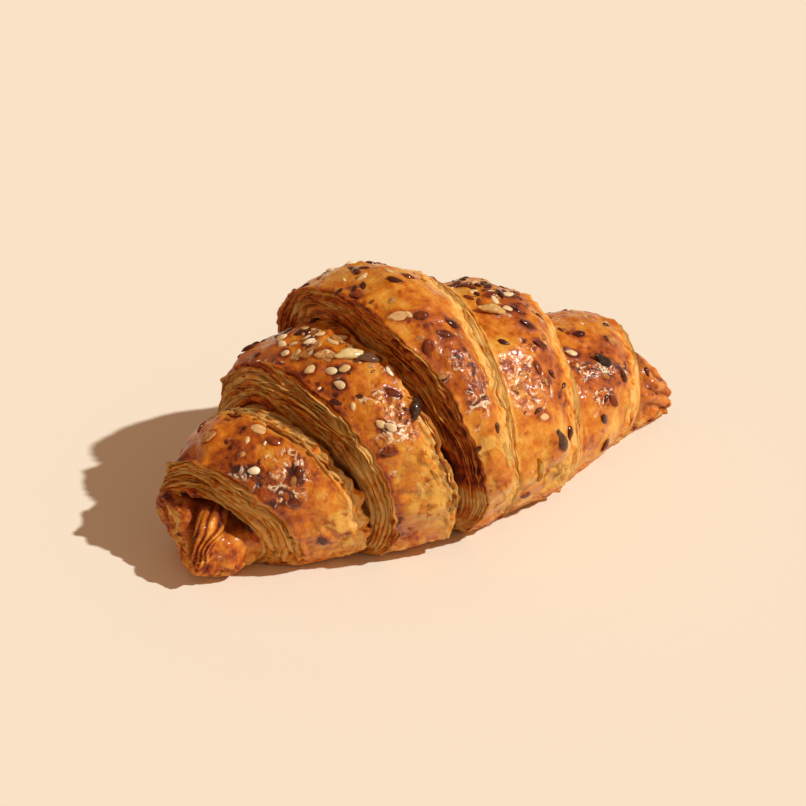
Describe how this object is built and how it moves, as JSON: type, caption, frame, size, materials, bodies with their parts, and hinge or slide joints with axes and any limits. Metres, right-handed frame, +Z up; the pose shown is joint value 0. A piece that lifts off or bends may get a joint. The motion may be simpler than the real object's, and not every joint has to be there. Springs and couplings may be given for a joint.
{
  "type": "croissant",
  "caption": "Straight seeded croissant with stepped laminated wraps on a flat base, sprinkled with sesame, flax, sunflower and oats.",
  "frame": {"origin": "centre of the flat base, on the surface that the croissant lies on", "axes": "+X along the roll from the curled left end to the pointed right end, -Y towards the front, +Z up"},
  "size_m": [0.1553, 0.0771, 0.0721],
  "materials": {
    "crust": "satin",
    "sesame_seed": "satin",
    "flax_seed": "gloss",
    "oat_flake": "matte",
    "sunflower_kernel": "satin",
    "sunflower_seed": "satin"
  },
  "bodies": {
    "root": {"flax_seed_01": "flax_seed", "flax_seed_02": "flax_seed", "flax_seed_03": "flax_seed", "flax_seed_04": "flax_seed", "flax_seed_05": "flax_seed", "flax_seed_06": "flax_seed", "flax_seed_07": "flax_seed", "flax_seed_08": "flax_seed", "flax_seed_09": "flax_seed", "flax_seed_10": "flax_seed", "flax_seed_11": "flax_seed", "flax_seed_12": "flax_seed", "flax_seed_13": "flax_seed", "flax_seed_14": "flax_seed", "flax_seed_15": "flax_seed", "flax_seed_16": "flax_seed", "flax_seed_17": "flax_seed", "flax_seed_18": "flax_seed", "flax_seed_19": "flax_seed", "flax_seed_20": "flax_seed", "flax_seed_21": "flax_seed", "flax_seed_22": "flax_seed", "flax_seed_23": "flax_seed", "flax_seed_24": "flax_seed", "flax_seed_25": "flax_seed", "flax_seed_26": "flax_seed", "oat_flake_01": "oat_flake", "oat_flake_02": "oat_flake", "oat_flake_03": "oat_flake", "oat_flake_04": "oat_flake", "oat_flake_05": "oat_flake", "oat_flake_06": "oat_flake", "oat_flake_07": "oat_flake", "pastry": "crust", "sesame_seed_01": "sesame_seed", "sesame_seed_02": "sesame_seed", "sesame_seed_03": "sesame_seed", "sesame_seed_04": "sesame_seed", "sesame_seed_05": "sesame_seed", "sesame_seed_06": "sesame_seed", "sesame_seed_07": "sesame_seed", "sesame_seed_08": "sesame_seed", "sesame_seed_09": "sesame_seed", "sesame_seed_10": "sesame_seed", "sesame_seed_11": "sesame_seed", "sesame_seed_12": "sesame_seed", "sesame_seed_13": "sesame_seed", "sesame_seed_14": "sesame_seed", "sesame_seed_15": "sesame_seed", "sesame_seed_16": "sesame_seed", "sesame_seed_17": "sesame_seed", "sesame_seed_18": "sesame_seed", "sunflower_kernel_01": "sunflower_kernel", "sunflower_kernel_02": "sunflower_kernel", "sunflower_seed_01": "sunflower_seed", "sunflower_seed_02": "sunflower_seed", "sunflower_seed_03": "sunflower_seed", "sunflower_seed_04": "sunflower_seed"}
  },
  "joints": []
}
